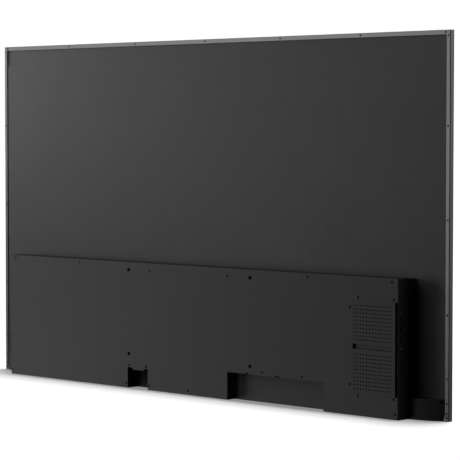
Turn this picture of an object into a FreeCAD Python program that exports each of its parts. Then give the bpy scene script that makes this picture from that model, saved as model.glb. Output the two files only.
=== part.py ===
"""Flat-panel display, 65-inch class, seen as an assembly of its real pieces.

Millimetres, +Z up.  X runs along the long side (right when seen from behind), the screen faces +Y
and the wall side faces -Y.  The origin is on the floor, below the middle of the bounding box.
"""
import FreeCAD, Part
import math
import os

V = FreeCAD.Vector

# ---- overall sizes -----------------------------------------------------------------------------
WIDTH = 1449.0             # frame, outside
HEIGHT = 824.0
EDGE = 12.5                # thickness of the thin edge of the display
COVER_DEEP = 57.4          # from the frame's rear flange to the face of the rear cover
HEAD = 0.5                 # how far a low screw head stands proud
DEPTH = EDGE + COVER_DEEP + HEAD

Y_FRONT = DEPTH / 2        # front face of the bezel
Y_FLANGE = Y_FRONT - EDGE  # rear face of the frame
Y_FACE = Y_FLANGE - COVER_DEEP   # outer face of the rear cover
HALF_W = WIDTH / 2

# ---- frame rails -------------------------------------------------------------------------------
FLANGE = 9.5               # width of the rear flange
RAIL_BOX = 4.0             # height of the hollow part of the rail behind the back sheet
RAIL_WALL = 1.5
RAIL_SKIN = 1.2
RAIL_HOLLOW_IN = 2.4       # hollow starts this far in from the outside
CORNER = 0.9               # chamfer between the flange and the side
GROOVE_DEEP = 1.0
GROOVE = (1.0, 2.2)        # groove in the side, measured from the rear flange
BEZEL_BAND = 2.5           # bezel's share of the edge
KEY_LEG = 40.0
KEY_PLAY = 0.15

# ---- screen stack, from the back sheet forwards ------------------------------------------------
Y_SHEET = Y_FLANGE + RAIL_BOX
SHEET = 1.0
REFLECTOR = 0.3
GUIDE = 3.0
FILMS = 0.8
MID_LIP = 0.5
LCD = 1.4
BEZEL_LIP = 1.5
BEZEL_WIDE = 9.0
INSET = RAIL_WALL + 0.2    # edge of the sheets, in from the outside of the frame
MID_WALL_IN = 9.2
MID_LIP_IN = 12.0
GUIDE_IN = 9.5
GUIDE_BOTTOM = 14.0
LED_COUNT = 96
LED_PITCH = 14.8
LED_SIZE = (3.6, 2.4, 1.4)
LED_STRIP = (3.4, 1.0)     # width along Y and thickness of the strip that carries the LEDs
SENSOR = (24.0, 2.0, 7.0)  # infra-red window in the bezel: length, bottom, top

# ---- screws ------------------------------------------------------------------------------------
FRAME_SCREW_R = 2.2
FRAME_SHANK_R = 1.25
COVER_SCREW_R = 3.0
COVER_SHANK_R = 1.5
SCREW_PLAY = 0.05
TOP_SCREW_X = (0.0, 238.0, 476.0, 712.0)
SIDE_SCREW_Z = (8.0, 17.0, 38.0, 90.0, 225.0, 425.0, 623.0, 812.0)

# ---- rear cover and tray -----------------------------------------------------------------------
COVER_HALF = 633.8
COVER_TOP = 300.5
STEEL = 1.2
BEND = 1.2                 # outside bend radius of the cover
Y_SKIRT = Y_FLANGE - 24.0  # open edge of the cover, and the bar's rear face
COVER_LIP = 8.0
TRAY_HALF = COVER_HALF - 2.0
TRAY_BOTTOM = 47.0
TRAY_TOP = COVER_TOP - 2.0
POST_R = 4.0
SLIM_POST_R = 3.0
POST_AT = ((616.0, 292.5), (375.0, 292.5), (128.0, 282.0), (-128.0, 282.0), (-375.0, 292.5),
           (-616.0, 292.5))
SLIM_POST_AT = ((0.0, 10.0), (-626.0, 12.0), (626.0, 12.0), (-209.0, 11.0), (-129.5, 11.0))
BAY_SCREW_AT = ((-198.0, 55.0), (-141.5, 55.0), (238.0, 71.3), (358.0, 71.3))

# ---- wall bracket pattern ----------------------------------------------------------------------
VESA_X = 400.0
VESA_Z = 200.0
VESA_LOW = 82.0            # height of the lower pair of holes
VESA_CLEAR_R = 4.5
VESA_BORE_R = 3.0
VESA_PLATE = 2.0
VESA_PLATE_WIDE = 50.0
INSERT_R = 5.0
INSERT_LONG = 15.0

# ---- power notch, connector bay and vent panel -------------------------------------------------
NOTCH = (-203.9, -134.7)
NOTCH_TOP = 49.5
TAB = (-183.5, -147.5)
TAB_BOTTOM = 44.5
TAB_SLOPE = 6.0
NOTCH_DEEP = 31.7
BAY = (128.3, 422.6)
BAY_TOP = 63.8
BAY_DEEP = 25.0
TIE_SLOTS = ((185.0, 195.0), (278.0, 293.0))    # cable-tie slots in the bay's top edge
TIE_SLOT_HIGH = 2.8
TIE_SLOT_DEEP = 9.0
WINDOW = (506.5, 48.0, 250.0)      # left edge, bottom, top
PANEL_RIGHT = 625.5
PANEL_GAP = 0.4
PANEL_RIM = 19.0
VENT_R = 1.8
VENT_PITCH = 8.22
VENT_COLUMNS = 13
VENT_ROWS = 10
VENT_X = 513.3
VENT_Z = (58.7, 164.4)
PULL = (617.1, 144.0, 155.0)       # pull groove: right end, bottom, top
PULL_DEEP = 4.5
PULL_HOLE = 4.5
PANEL_SCREW_AT = ((521.4, 255.5), (622.0, 255.5), (498.0, 233.4), (498.0, 66.6), (521.4, 43.5),
                  (622.0, 43.5))

# ---- lower bar and speakers --------------------------------------------------------------------
BAR_HALF = 712.0
BAR_TOP = 46.0
BAR_STRAIGHT = 625.0       # where the rear face starts to curve towards the frame
BAR_WALL = 1.5
BAR_SCREW_X = 708.0
BAR_SCREW_Z = (8.0, 40.0)
BAR_SCREW_SUNK = 2.3       # bar screw heads sit this far behind the flange
BAR_HEAD_R = 2.6
BAR_HEAD = 0.8
SOUND_SLOTS = 22
SOUND_SLOT = (452.0, 6.0, 2.0)     # first slot, pitch and width
SOUND_SLOT_Y = (5.0, 20.0)         # from the bar's rear face, like the speaker sizes below
SPEAKER_X = 515.0
SPEAKER_LONG = 180.0
SPEAKER_Y = (3.0, 22.0)
SPEAKER_Z = (3.0, 42.0)
SPEAKER_WALL = 2.5
MOUTH_LONG = 60.0
MOUTH_Y = (6.0, 19.0)
CONE = 1.2
MAGNET_R = 5.5
MAGNET_LONG = 10.8

# ---- connectors: width, height off the board, length, shell wall -------------------------------
HDMI = (15.0, 5.7, 12.0, 0.4)
DISPLAY_PORT = (17.0, 5.7, 12.0, 0.4)
USB = (13.3, 5.9, 14.0, 0.4)
LAN = (16.0, 13.5, 16.0, 1.0)
SHELL_BACK = 1.5           # closed rear end of a connector shell
DSUB_NOSE = (17.0, 8.0)    # widths of the parts of a D-shaped socket, along X and Y
DSUB_FLANGE = (31.0, 12.5)
DSUB_BODY = (19.0, 10.0)
DSUB_WALL = 0.5
DSUB_SHEET = 1.0
DSUB_HIGH = 9.0
DSUB_MIDDLE = 5.0          # centre line of the D-shaped and audio sockets, from the board
PROUD = 1.5                # connectors stand this far out of their plate
CUT_PLAY = 0.2             # gap round a connector or key in its plate
DOWN_HDMI = (194.0, 287.0)
DOWN_DISPLAY = 213.5
DOWN_USB = (238.0, 334.0)
DOWN_LAN = 310.0
DOWN_DSUB = (156.0, 374.0)
JACK_X = 264.0
JACK_R = 1.8
JACK_NOSE_R = 3.0
JACK_BLOCK = (11.0, 10.0, 14.0)    # width, height off the board, length
JACK_DEEP = 12.0
SIDE_USB = (212.0, 192.0)
SIDE_HDMI = 171.0
BOARD = 1.6
Y_MAIN = Y_FACE + BAY_DEEP - BOARD       # rear face of the main board
Y_SIDE = Y_FACE + 13.4                   # rear face of the side connector board
SIDE_WINDOW = (92.0, 240.0)              # height range of the window in the right wall
SIDE_WINDOW_Y = (Y_FACE + 4.4, Y_FACE + 26.4)
SIDE_PLATE_OUT = COVER_HALF - STEEL
SIDE_SCREW_AT = (228.0, 151.5)
SIDE_SCREW_Y = Y_FACE + 11.5
SIDE_HEAD_R = 2.4
SIDE_HEAD = 0.8
SIDE_PROUD = 0.7           # side connectors stand this far out of the plate
KEY_Z = (138.0, 126.0, 114.0, 102.0)
KEY_NAMES = ("power_key", "source_key", "up_key", "down_key")
KEY_Y = Y_FACE + 15.5
KEY_SIZE = (8.0, 6.0)      # along Y and Z
KEY_TRAVEL = 0.8
KEY_CAP = (-2.2, 0.9)      # cap, collar and plunger, from the plate's outer face
KEY_COLLAR = (-3.4, -2.2)
KEY_COLLAR_WIDER = 1.2
KEY_PLUNGER = (-6.0, -3.4)
KEY_PLUNGER_R = 1.6
TACTILE = (2.0, 5.0, 6.0)  # small switch behind a key: along X, Y and Z
KEY_BOARD = 1.0

# ---- mains inlet and rocker switch -------------------------------------------------------------
INLET_X = -184.5
SWITCH_X = -153.0
INLET_Y = Y_FACE + 17.0
INLET_FLANGE = (30.0, 23.0, 2.0)   # length, width and height of the parts of the inlet
INLET_BODY = (27.5, 20.0, 20.0)
INLET_MOUTH = (24.2, 15.6, 15.0)
INLET_CORNER = 4.5                 # the two sloped corners of the mouth
BLADE = (2.0, 4.0)
BLADE_PITCH = 7.0
BLADE_STAGGER = 2.0
BLADE_Z = (1.0, 27.0)              # above the notch's roof
SWITCH_FLANGE = (15.0, 21.0, 2.0)
SWITCH_BODY = (13.0, 19.2, 17.0)
SWITCH_HOLLOW = (10.0, 17.2, 14.0)
ROCKER_HALF = 7.4
ROCKER_WIDE = 9.4
ROCKER_LOW = 4.4                   # from the pivot down to the middle of the rocker's face
ROCKER_TILT = 8.0
PIN_R = 1.0
PIN_LONG = 11.9
PIVOT_Z = NOTCH_TOP + 2.0

# ---- circuit boards: x0, x1, z0, z1, rear face -------------------------------------------------
Y_TRAY = Y_SHEET - STEEL                 # inner face of the tray
MAIN_BOARD = (135.0, 418.0, 66.5, 250.0, Y_MAIN)
SUPPLY_BOARD = (-430.0, -100.0, 82.0, 268.0, Y_TRAY - 12.0)
DRIVER_BOARD = (-600.0, -460.0, 90.0, 230.0, Y_TRAY - 12.0)
TIMING_BOARD = (-60.0, 110.0, 215.0, 272.0, Y_TRAY - 9.0)
SIDE_BOARD = (560.0, 622.0, 94.0, 238.0, Y_SIDE)
BOARD_HOLE_R = 1.6
SPACER_R = 3.0

# ---- parts on the boards -----------------------------------------------------------------------
CHIPS = ((322, 372, 150, 200), (262, 276, 180, 194), (262, 276, 160, 174), (225, 243, 200, 218),
         (160, 180, 120, 140), (390, 402, 110, 122))     # x0, x1, z0, z1 on the main board
CHIP = 1.5
SINK = (315.0, 379.0, 143.0, 207.0)      # heat sink: x0, x1, z0, z1
SINK_BASE = 3.0
FIN_HIGH = 9.5
FIN = 1.9
FIN_PITCH = 6.9
FIN_COUNT = 10
TRANSFORMERS = ((-370, 150, 44, 40, 24), (-310, 210, 36, 36, 22), (-160, 150, 30, 28, 20),
                (-235, 130, 26, 24, 18))                 # x, z, width, depth, height
CAPACITORS = ((-405, 215, 9, 26), (-380, 215, 9, 26), (-270, 120, 6, 20), (-255, 240, 5, 16),
              (-240, 240, 5, 16), (-225, 240, 5, 16), (-140, 200, 5, 16), (-140, 215, 5, 16))
COILS = (-575.0, 30.0, 4, 200.0, 9.0, 12.0)    # first x, pitch, count, z, radius, height
DRIVER_CHIPS = (-580.0, 32.0, 4, 130.0, 14.0)  # first x, pitch, count, z, side
DRIVER_CHIP = 1.6


# ---- shape helpers -----------------------------------------------------------------------------
def box(x0, x1, y0, y1, z0, z1):
    return Part.makeBox(x1 - x0, y1 - y0, z1 - z0, V(x0, y0, z0))


def rod_x(x0, x1, y, z, radius):
    return Part.makeCylinder(radius, x1 - x0, V(x0, y, z), V(1, 0, 0))


def rod_y(y0, y1, x, z, radius):
    return Part.makeCylinder(radius, y1 - y0, V(x, y0, z), V(0, 1, 0))


def rod_z(z0, z1, x, y, radius):
    return Part.makeCylinder(radius, z1 - z0, V(x, y, z0), V(0, 0, 1))


def prism(points, direction):
    """Closed outline of 3-D points, pushed along a direction."""
    corners = [V(*point) for point in points]
    return Part.Face(Part.makePolygon(corners + corners[:1])).extrude(V(*direction))


def ring_y(x_in, z_in, y0, y1, outer_in):
    """Rectangular ring round the whole frame, between two insets from its outside."""
    outer = box(-HALF_W + outer_in, HALF_W - outer_in, y0, y1, outer_in, HEIGHT - outer_in)
    return outer.cut(box(-HALF_W + x_in, HALF_W - x_in, y0 - 1, y1 + 1, z_in, HEIGHT - z_in))


def plan_block(x, y, size, z0, z1, grow=0.0):
    """Block centred on (x, y) in plan; size gives its widths along X and Y."""
    half_x = size[0] / 2 + grow
    half_y = size[1] / 2 + grow
    return box(x - half_x, x + half_x, y - half_y, y + half_y, z0, z1)


def group(solids):
    return Part.makeCompound(solids)


# ---- frame -------------------------------------------------------------------------------------
def frame_screw_places():
    top_z = HEIGHT - FLANGE / 2
    places = [(sign * x, top_z) for x in TOP_SCREW_X for sign in (-1, 1) if x or sign > 0]
    side_x = HALF_W - FLANGE / 2
    return places + [(sign * side_x, z) for z in SIDE_SCREW_Z for sign in (-1, 1)]


def frame_screw_holes():
    radius = FRAME_SHANK_R + SCREW_PLAY
    return group([rod_y(Y_FLANGE - 1, Y_SHEET + SHEET + 1, x, z, radius)
                  for x, z in frame_screw_places()])


def rail_section(outside, inward, z):
    """Rail section at one point of its outside edge; inward is a unit vector across the rail."""
    def at(across, y):
        return (outside[0] + inward[0] * across, y, z + inward[1] * across)

    y_wall = Y_FRONT - BEZEL_BAND
    groove_0 = Y_FLANGE + GROOVE[0]
    groove_1 = Y_FLANGE + GROOVE[1]
    outline = [at(CORNER, Y_FLANGE), at(0, Y_FLANGE + CORNER), at(0, groove_0), at(GROOVE_DEEP, groove_0),
               at(GROOVE_DEEP, groove_1), at(0, groove_1), at(0, y_wall), at(RAIL_WALL, y_wall),
               at(RAIL_WALL, Y_SHEET), at(FLANGE, Y_SHEET), at(FLANGE, Y_FLANGE)]
    hollow = [at(RAIL_HOLLOW_IN, Y_FLANGE + RAIL_SKIN), at(FLANGE - RAIL_SKIN, Y_FLANGE + RAIL_SKIN),
              at(FLANGE - RAIL_SKIN, Y_SHEET - RAIL_SKIN), at(RAIL_HOLLOW_IN, Y_SHEET - RAIL_SKIN)]
    return outline, hollow


def rail(side):
    """One extruded rail, mitred at both ends: side is top, bottom, left or right."""
    upright = side in ("left", "right")
    sign = 1 if side in ("right", "top") else -1
    if upright:
        start, inward, run = (sign * HALF_W, 0), (-sign, 0), (0, 0, HEIGHT)
        base_z = 0.0
        mitre = [(sign * HALF_W, 0), (sign * HALF_W, HEIGHT), (sign * (HALF_W - FLANGE), HEIGHT - FLANGE),
                 (sign * (HALF_W - FLANGE), FLANGE)]
    else:
        base_z = HEIGHT if sign > 0 else 0.0
        inner_z = base_z - sign * FLANGE
        start, inward, run = (-HALF_W, 0), (0, -sign), (WIDTH, 0, 0)
        mitre = [(-HALF_W, base_z), (HALF_W, base_z), (HALF_W - FLANGE, inner_z), (FLANGE - HALF_W, inner_z)]
    outline, hollow = rail_section(start, inward, base_z)
    bar = prism(outline, run).cut(prism(hollow, run))
    ends = prism([(x, Y_FLANGE - 1, z) for x, z in mitre], (0, EDGE + 2, 0))
    return bar.common(ends).cut(frame_screw_holes())


def corner_keys():
    """Flat L-shaped keys that sit in the hollows and join the rails."""
    y0 = Y_FLANGE + RAIL_SKIN + KEY_PLAY
    y1 = Y_SHEET - RAIL_SKIN - KEY_PLAY
    near = RAIL_HOLLOW_IN + KEY_PLAY
    far = FLANGE - RAIL_SKIN - KEY_PLAY
    keys = []
    for side in (-1, 1):
        for level in (-1, 1):
            corner_z = HEIGHT if level > 0 else 0.0
            flat = [(near, near), (far + KEY_LEG, near), (far + KEY_LEG, far), (far, far),
                    (far, far + KEY_LEG), (near, far + KEY_LEG)]
            points = [(side * (HALF_W - a), y0, corner_z - level * b) for a, b in flat]
            keys.append(prism(points, (0, y1 - y0, 0)).cut(frame_screw_holes()))
    return group(keys)


def frame_screws():
    """Low heads on the flange, with shanks through the rail into the back sheet."""
    screws = []
    for x, z in frame_screw_places():
        head = rod_y(Y_FLANGE - HEAD, Y_FLANGE, x, z, FRAME_SCREW_R)
        shank = rod_y(Y_FLANGE, Y_SHEET + SHEET - 0.1, x, z, FRAME_SHANK_R)
        screws.append(head.fuse(shank).removeSplitter())
    return group(screws)


# ---- screen stack ------------------------------------------------------------------------------
def back_sheet():
    y1 = Y_SHEET + SHEET
    sheet = box(-HALF_W + INSET, HALF_W - INSET, Y_SHEET, y1, INSET, HEIGHT - INSET)
    return sheet.cut(frame_screw_holes())


def reflector_sheet():
    y0 = Y_SHEET + SHEET
    return box(-HALF_W + GUIDE_IN, HALF_W - GUIDE_IN, y0, y0 + REFLECTOR, GUIDE_BOTTOM, HEIGHT - GUIDE_IN)


def light_guide():
    y0 = Y_SHEET + SHEET + REFLECTOR
    return box(-HALF_W + GUIDE_IN, HALF_W - GUIDE_IN, y0, y0 + GUIDE, GUIDE_BOTTOM, HEIGHT - GUIDE_IN)


def optical_films():
    y0 = Y_SHEET + SHEET + REFLECTOR + GUIDE
    return box(-HALF_W + GUIDE_IN, HALF_W - GUIDE_IN, y0, y0 + FILMS, GUIDE_BOTTOM, HEIGHT - GUIDE_IN)


def mid_frame():
    """Moulded frame: a wall round the light guide and a lip that carries the screen."""
    y0 = Y_SHEET + SHEET
    y1 = y0 + REFLECTOR + GUIDE + FILMS
    wall = ring_y(MID_WALL_IN, MID_WALL_IN, y0, y1, INSET)
    lip = ring_y(MID_LIP_IN, MID_LIP_IN, y1, y1 + MID_LIP, INSET)
    return wall.fuse(lip).removeSplitter()


def led_strip():
    y0 = Y_SHEET + SHEET + 0.1
    z0 = MID_WALL_IN + 0.1
    return box(-HALF_W + MID_LIP_IN, HALF_W - MID_LIP_IN, y0, y0 + LED_STRIP[0], z0, z0 + LED_STRIP[1])


def led_emitters():
    long, wide, high = LED_SIZE
    y0 = Y_SHEET + SHEET + REFLECTOR + 0.3
    z0 = MID_WALL_IN + 0.1 + LED_STRIP[1]
    start = -(LED_COUNT - 1) / 2 * LED_PITCH - long / 2
    return group([box(start + i * LED_PITCH, start + i * LED_PITCH + long, y0, y0 + wide, z0, z0 + high)
                  for i in range(LED_COUNT)])


def lcd_panel():
    y1 = Y_FRONT - BEZEL_LIP
    return box(-HALF_W + INSET, HALF_W - INSET, y1 - LCD, y1, INSET, HEIGHT - INSET)


def sensor_slot(y0, y1, play):
    long, low, high = SENSOR
    return box(-long / 2 - play, long / 2 + play, y0, y1, low - play, high + play)


def front_bezel():
    """Slim black surround: a lip in front of the screen's rim and a band on the frame's edge."""
    lip = ring_y(BEZEL_WIDE, BEZEL_WIDE, Y_FRONT - BEZEL_LIP, Y_FRONT, 0)
    band = ring_y(RAIL_WALL, RAIL_WALL, Y_FRONT - BEZEL_BAND, Y_FRONT - BEZEL_LIP, 0)
    slot = sensor_slot(Y_FRONT - BEZEL_LIP - 1, Y_FRONT + 1, 0.05)
    return lip.fuse(band).removeSplitter().cut(slot)


def sensor_window():
    return sensor_slot(Y_FRONT - BEZEL_LIP, Y_FRONT, 0)


# ---- lower bar and speakers --------------------------------------------------------------------
def bar_outline(inset, y_end, z):
    """Plan of the bar: flat rear face that curves to the frame's flange at both ends."""
    rise = Y_FLANGE - Y_SKIRT
    reach = BAR_HALF - BAR_STRAIGHT
    big = (reach ** 2 + rise ** 2) / (2 * rise)
    centre_y = Y_SKIRT + big
    radius = big - inset
    end_x = BAR_HALF - inset
    turn = math.asin((end_x - BAR_STRAIGHT) / radius)

    def on_arc(side, angle):
        return V(side * (BAR_STRAIGHT + radius * math.sin(angle)), centre_y - radius * math.cos(angle), z)

    left_end, left_mid, left_start = (on_arc(-1, angle) for angle in (turn, turn / 2, 0))
    right_end, right_mid, right_start = (on_arc(1, angle) for angle in (turn, turn / 2, 0))
    back_left = V(-end_x, y_end, z)
    back_right = V(end_x, y_end, z)
    edges = [Part.Arc(left_end, left_mid, left_start).toShape(),
             Part.LineSegment(left_start, right_start).toShape(),
             Part.Arc(right_start, right_mid, right_end).toShape(),
             Part.LineSegment(right_end, back_right).toShape(),
             Part.LineSegment(back_right, back_left).toShape(),
             Part.LineSegment(back_left, left_end).toShape()]
    return Part.Face(Part.Wire(edges))


def bottom_bar():
    """Full-width lower shell: open towards the back sheet, sound slots in its underside."""
    shell = bar_outline(0, Y_SHEET, 0).extrude(V(0, 0, BAR_TOP))
    hollow = bar_outline(BAR_WALL, Y_SHEET + 1, BAR_WALL).extrude(V(0, 0, BAR_TOP - 2 * BAR_WALL))
    bar = shell.cut(hollow)
    bar = bar.cut(box(-HALF_W, HALF_W, Y_FLANGE, Y_SHEET + 1, -1, FLANGE + 0.1))
    first, pitch, wide = SOUND_SLOT
    slots = []
    for side in (-1, 1):
        for i in range(SOUND_SLOTS):
            x = side * (first + pitch * i)
            slots.append(box(x - wide / 2, x + wide / 2, Y_SKIRT + SOUND_SLOT_Y[0], Y_SKIRT + SOUND_SLOT_Y[1],
                             -1, BAR_WALL + 1))
    pockets = []
    for x, z in bar_screw_places():
        pockets.append(rod_y(Y_SKIRT, Y_FLANGE - BAR_WALL, x, z, COVER_SCREW_R + 0.2))
        pockets.append(rod_y(Y_SKIRT, Y_SHEET + 1, x, z, FRAME_SHANK_R + SCREW_PLAY))
    return bar.cut(group(slots + pockets + slim_post_shank_holes()))


def bar_screw_places():
    return [(side * BAR_SCREW_X, z) for side in (-1, 1) for z in BAR_SCREW_Z]


def bar_screws():
    y0 = Y_FLANGE - BAR_SCREW_SUNK
    screws = []
    for x, z in bar_screw_places():
        head = rod_y(y0, y0 + BAR_HEAD, x, z, BAR_HEAD_R)
        shank = rod_y(y0 + BAR_HEAD, Y_FLANGE, x, z, FRAME_SHANK_R)
        screws.append(head.fuse(shank).removeSplitter())
    return group(screws)


def speaker(side):
    """Closed speaker box in the bar, with a long mouth in its underside."""
    x = side * SPEAKER_X
    half = SPEAKER_LONG / 2
    y0, y1 = (Y_SKIRT + y for y in SPEAKER_Y)
    z0, z1 = SPEAKER_Z
    case = box(x - half, x + half, y0, y1, z0, z1)
    case = case.cut(box(x - half + SPEAKER_WALL, x + half - SPEAKER_WALL, y0 + SPEAKER_WALL,
                        y1 - SPEAKER_WALL, z0 + SPEAKER_WALL, z1 - SPEAKER_WALL))
    return case.cut(box(x - MOUTH_LONG / 2, x + MOUTH_LONG / 2, Y_SKIRT + MOUTH_Y[0], Y_SKIRT + MOUTH_Y[1],
                        z0 - 1, z0 + SPEAKER_WALL + 1))


def speaker_drivers():
    """Long flat cone in each speaker's mouth, with a round magnet above it."""
    gap = 0.2
    z0 = SPEAKER_Z[0] + 1
    drivers = []
    for x in (-SPEAKER_X, SPEAKER_X):
        cone = box(x - MOUTH_LONG / 2 + gap, x + MOUTH_LONG / 2 - gap, Y_SKIRT + MOUTH_Y[0] + gap,
                   Y_SKIRT + MOUTH_Y[1] - gap, z0, z0 + CONE)
        magnet = rod_z(z0 + CONE, z0 + CONE + MAGNET_LONG, x, Y_SKIRT + sum(MOUTH_Y) / 2, MAGNET_R)
        drivers.append(cone.fuse(magnet))
    return group(drivers)


# ---- tray, posts and cover ---------------------------------------------------------------------
def chassis_tray():
    """Folded steel tray on the back sheet; its walls are the cover's inset base."""
    outer = box(-TRAY_HALF, TRAY_HALF, Y_SKIRT, Y_SHEET, TRAY_BOTTOM, TRAY_TOP)
    hollow = box(-TRAY_HALF + STEEL, TRAY_HALF - STEEL, Y_SKIRT - 1, Y_TRAY,
                 TRAY_BOTTOM + STEEL, TRAY_TOP - STEEL)
    return outer.cut(hollow)


def cover_posts():
    """Tapped posts that carry the cover: long ones on the tray, short ones on the bar."""
    inner = Y_FACE + STEEL
    posts = []
    for x, z in POST_AT:
        post = rod_y(inner, Y_TRAY, x, z, POST_R)
        posts.append(post.cut(rod_y(inner - 1, inner + 9, x, z, COVER_SHANK_R + SCREW_PLAY)))
    for x, z in SLIM_POST_AT:
        post = rod_y(inner, Y_SKIRT, x, z, SLIM_POST_R)
        posts.append(post.cut(rod_y(inner - 1, inner + 9, x, z, COVER_SHANK_R + SCREW_PLAY)))
    return group(posts)


def slim_post_shank_holes():
    return [rod_y(Y_SKIRT - 1, Y_SKIRT + 5, x, z, 1.0) for x, z in SLIM_POST_AT]


def cover_screw_places():
    return POST_AT + SLIM_POST_AT + BAY_SCREW_AT + PANEL_SCREW_AT


def cover_screw_holes(y0, y1):
    return group([rod_y(y0, y1, x, z, COVER_SHANK_R + SCREW_PLAY) for x, z in cover_screw_places()])


def cover_screws():
    long_tip = Y_FACE + 9.0
    short_tip = Y_FACE + 2 * STEEL + 0.8
    screws = []
    for x, z in cover_screw_places():
        tip = long_tip if (x, z) in POST_AT + SLIM_POST_AT else short_tip
        head = rod_y(Y_FACE - HEAD, Y_FACE, x, z, COVER_SCREW_R)
        screws.append(head.fuse(rod_y(Y_FACE, tip, x, z, COVER_SHANK_R)).removeSplitter())
    return group(screws)


def vesa_places():
    return [(x, z) for x in (-VESA_X / 2, VESA_X / 2) for z in (VESA_LOW, VESA_LOW + VESA_Z)]


def notch_cut():
    """Opening for the mains plug: a tab with one sloped end hangs from its top edge."""
    outline = [(NOTCH[0], -1), (NOTCH[0], NOTCH_TOP), (TAB[0] - TAB_SLOPE, NOTCH_TOP), (TAB[0], TAB_BOTTOM),
               (TAB[1], TAB_BOTTOM), (TAB[1], NOTCH_TOP), (NOTCH[1], NOTCH_TOP), (NOTCH[1], -1)]
    through = prism([(x, Y_FACE - 1, z) for x, z in outline], (0, STEEL + 1.5, 0))
    floor = box(NOTCH[0], NOTCH[1], Y_FACE - 1, Y_FACE + NOTCH_DEEP, -1, STEEL + 1)
    return through.fuse(floor)


def bay_cut():
    through = box(BAY[0], BAY[1], Y_FACE - 1, Y_FACE + STEEL + 0.5, -1, BAY_TOP)
    floor = box(BAY[0], BAY[1], Y_FACE - 1, Y_FACE + BAY_DEEP, -1, STEEL + 1)
    return through.fuse([floor, tie_slots()])


def tie_slots():
    """Slots for cable ties, through the cover and the front edge of the bay's roof."""
    return group([box(x0, x1, Y_FACE - 1, Y_FACE + TIE_SLOT_DEEP, BAY_TOP - 1, BAY_TOP + TIE_SLOT_HIGH)
                  for x0, x1 in TIE_SLOTS])


def rear_cover():
    """Folded steel cover: face, four skirts and an inward lip, with its openings cut through."""
    outer = box(-COVER_HALF, COVER_HALF, Y_FACE, Y_SKIRT, 0, COVER_TOP)
    rims = [edge for edge in outer.Edges
            if all(abs(vertex.Point.y - Y_FACE) < 0.01 for vertex in edge.Vertexes)]
    outer = outer.makeFillet(BEND, rims)
    hollow = box(-COVER_HALF + STEEL, COVER_HALF - STEEL, Y_FACE + STEEL, Y_SKIRT - STEEL,
                 STEEL, COVER_TOP - STEEL)
    mouth = box(-COVER_HALF + COVER_LIP, COVER_HALF - COVER_LIP, Y_SKIRT - 2 * STEEL, Y_SKIRT + 1,
                STEEL, COVER_TOP - COVER_LIP)
    cover = outer.cut(hollow).cut(mouth).cut(notch_cut()).cut(bay_cut())
    left, low, high = WINDOW
    window = box(left, COVER_HALF - STEEL, Y_FACE - 1, Y_FACE + STEEL + 0.5, low, high)
    side_window = box(COVER_HALF - STEEL - 1, COVER_HALF + 1, SIDE_WINDOW_Y[0], SIDE_WINDOW_Y[1],
                      SIDE_WINDOW[0], SIDE_WINDOW[1])
    holes = [rod_y(Y_FACE - 1, Y_FACE + 2, x, z, VESA_CLEAR_R) for x, z in vesa_places()]
    cover = cover.cut(window).cut(side_window).cut(group(holes))
    cover = cover.cut(cover_screw_holes(Y_FACE - 1, Y_FACE + 2))
    slim = [rod_y(Y_SKIRT - 2 * STEEL, Y_SKIRT + 1, x, z, SLIM_POST_R + 0.2) for x, z in SLIM_POST_AT]
    wide = [rod_y(Y_SKIRT - 2 * STEEL, Y_SKIRT + 1, x, z, POST_R + 0.2) for x, z in POST_AT]
    return cover.cut(group(slim + wide))


# ---- vent panel --------------------------------------------------------------------------------
def vent_places():
    return [(VENT_X + VENT_PITCH * i, z + VENT_PITCH * j)
            for z in VENT_Z for i in range(VENT_COLUMNS) for j in range(VENT_ROWS)]


def vent_panel():
    """Removable vent panel: two drilled fields, a pull groove and a screw rim behind the cover."""
    x0 = WINDOW[0] + PANEL_GAP
    z0 = WINDOW[1] + PANEL_GAP
    z1 = WINDOW[2] - PANEL_GAP
    corners = [V(x0, Y_FACE, z0), V(PANEL_RIGHT, Y_FACE, z0), V(PANEL_RIGHT, Y_FACE, z1), V(x0, Y_FACE, z1)]
    wires = [Part.makePolygon(corners + corners[:1])]
    for x, z in vent_places():
        wires.append(Part.Wire(Part.Circle(V(x, Y_FACE, z), V(0, 1, 0), VENT_R).toShape()))
    sheet = Part.Face(wires, "Part::FaceMakerBullseye").extrude(V(0, STEEL, 0))
    back = Y_FACE + STEEL
    rim = box(x0 - PANEL_RIM, PANEL_RIGHT, back, back + STEEL, z0 - 10, z1 + 10)
    rim = rim.cut(box(x0 + 3.4, PANEL_RIGHT - 4, back - 1, back + STEEL + 1, z0 + 6, z1 - 6))
    fold = box(PANEL_RIGHT - STEEL, PANEL_RIGHT, back, back + 5, z0, z1)
    right, low, high = PULL
    channel = box(x0, right + STEEL, back, Y_FACE + PULL_DEEP + STEEL, low - STEEL, high + STEEL)
    groove = box(x0, right, Y_FACE - 1, Y_FACE + PULL_DEEP, low, high)
    finger = box(x0, x0 + PULL_HOLE, Y_FACE - 1, Y_FACE + 2 * PULL_DEEP, low, high)
    panel = sheet.fuse([rim, fold, channel]).cut(groove).cut(finger)
    return panel.cut(cover_screw_holes(back - 0.5, back + STEEL + 0.5)).removeSplitter()


# ---- wall bracket plates -----------------------------------------------------------------------
def vesa_plate(x):
    """Stiff plate behind the cover that spreads the load of two wall-bracket bolts."""
    y0 = Y_FACE + STEEL
    half = VESA_PLATE_WIDE / 2
    plate = box(x - half, x + half, y0, y0 + VESA_PLATE, VESA_LOW - 5.5, COVER_TOP - 5)
    holes = [rod_y(y0 - 1, y0 + VESA_PLATE + 1, x, z, VESA_CLEAR_R)
             for z in (VESA_LOW, VESA_LOW + VESA_Z)]
    return plate.cut(group(holes))


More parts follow.
